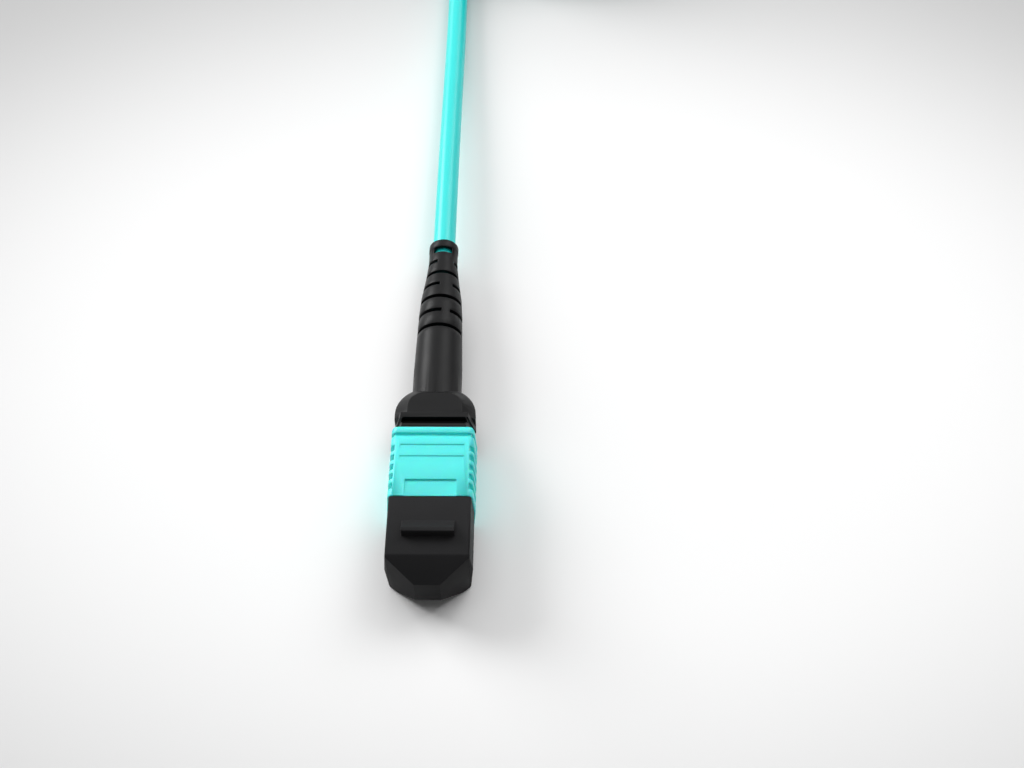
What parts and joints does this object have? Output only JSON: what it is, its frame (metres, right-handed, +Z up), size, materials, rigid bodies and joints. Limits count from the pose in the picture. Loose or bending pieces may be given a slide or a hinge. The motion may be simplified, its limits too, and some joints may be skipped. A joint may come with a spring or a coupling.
{
  "type": "mpo fibre connector",
  "caption": "Multi-fibre push-pull plug with dust cap, sliding coupling sleeve, slotted strain-relief boot and wound patch cord.",
  "frame": {"origin": "middle of the near connector's length and width, on the surface that it lies on", "axes": "+Y from the dust cap's nose towards the boot and along the cord, +Z up out of the key side"},
  "size_m": [0.0404, 0.2793, 0.0122],
  "materials": {
    "cap_plastic": "moulded, satin",
    "sleeve_plastic": "moulded, aqua",
    "housing_plastic": "moulded",
    "post_plastic": "moulded",
    "keeper_plastic": "moulded",
    "ferrule_resin": "filled resin",
    "ferrule_rubber": "matt",
    "boot_rubber": "moulded, satin",
    "spring_steel": "drawn wire",
    "crimp_metal": "nickel plated",
    "aramid": "yarn",
    "ribbon_acrylate": "acrylate ribbon",
    "jacket": "extruded, aqua"
  },
  "bodies": {
    "plug": {"inner_housing": "housing_plastic", "ferrule_spring": "spring_steel", "coupling_spring_left": "spring_steel", "coupling_spring_right": "spring_steel", "back_post": "post_plastic", "aramid_yarn": "aramid", "crimp_ring": "crimp_metal", "strain_relief_boot": "boot_rubber", "fibre_ribbon": "ribbon_acrylate", "cable_lead": "jacket", "cable_hank": "jacket", "far_cable_lead": "jacket", "far_inner_housing": "housing_plastic", "far_ferrule_spring": "spring_steel", "far_coupling_spring_left": "spring_steel", "far_coupling_spring_right": "spring_steel", "far_back_post": "post_plastic", "far_aramid_yarn": "aramid", "far_crimp_ring": "crimp_metal", "far_strain_relief_boot": "boot_rubber", "far_fibre_ribbon": "ribbon_acrylate"},
    "dust_cap": {"dust_cap": "cap_plastic"},
    "coupling_sleeve": {"coupling_sleeve": "sleeve_plastic"},
    "ferrule": {"mt_ferrule": "ferrule_resin", "ferrule_boot": "ferrule_rubber", "pin_keeper": "keeper_plastic"},
    "far_dust_cap": {"far_dust_cap": "cap_plastic"},
    "far_coupling_sleeve": {"far_coupling_sleeve": "sleeve_plastic"},
    "far_ferrule": {"far_mt_ferrule": "ferrule_resin", "far_ferrule_boot": "ferrule_rubber", "far_pin_keeper": "keeper_plastic"}
  },
  "joints": [
    {"name": "dust_cap_pull", "type": "slide", "parent": "plug", "child": "dust_cap", "axis": [0, -1, 0], "range_m": [0, 0.025]},
    {"name": "sleeve_pull", "type": "slide", "parent": "plug", "child": "coupling_sleeve", "axis": [0, 1, 0], "range_m": [0, 0.002], "stiffness_N_per_m": 2000, "springref_m": -0.001, "deforming": ["coupling_spring_left", "coupling_spring_right"]},
    {"name": "ferrule_float", "type": "slide", "parent": "plug", "child": "ferrule", "axis": [0, 1, 0], "range_m": [0, 0.001], "stiffness_N_per_m": 5000, "springref_m": -0.001, "deforming": ["ferrule_spring", "fibre_ribbon"]},
    {"name": "far_dust_cap_pull", "type": "slide", "parent": "plug", "child": "far_dust_cap", "axis": [0, 1, 0], "range_m": [0, 0.025]},
    {"name": "far_sleeve_pull", "type": "slide", "parent": "plug", "child": "far_coupling_sleeve", "axis": [0, -1, 0], "range_m": [0, 0.002], "stiffness_N_per_m": 2000, "springref_m": -0.001, "deforming": ["far_coupling_spring_left", "far_coupling_spring_right"]},
    {"name": "far_ferrule_float", "type": "slide", "parent": "plug", "child": "far_ferrule", "axis": [0, -1, 0], "range_m": [0, 0.001], "stiffness_N_per_m": 5000, "springref_m": -0.001, "deforming": ["far_ferrule_spring", "far_fibre_ribbon"]}
  ]
}
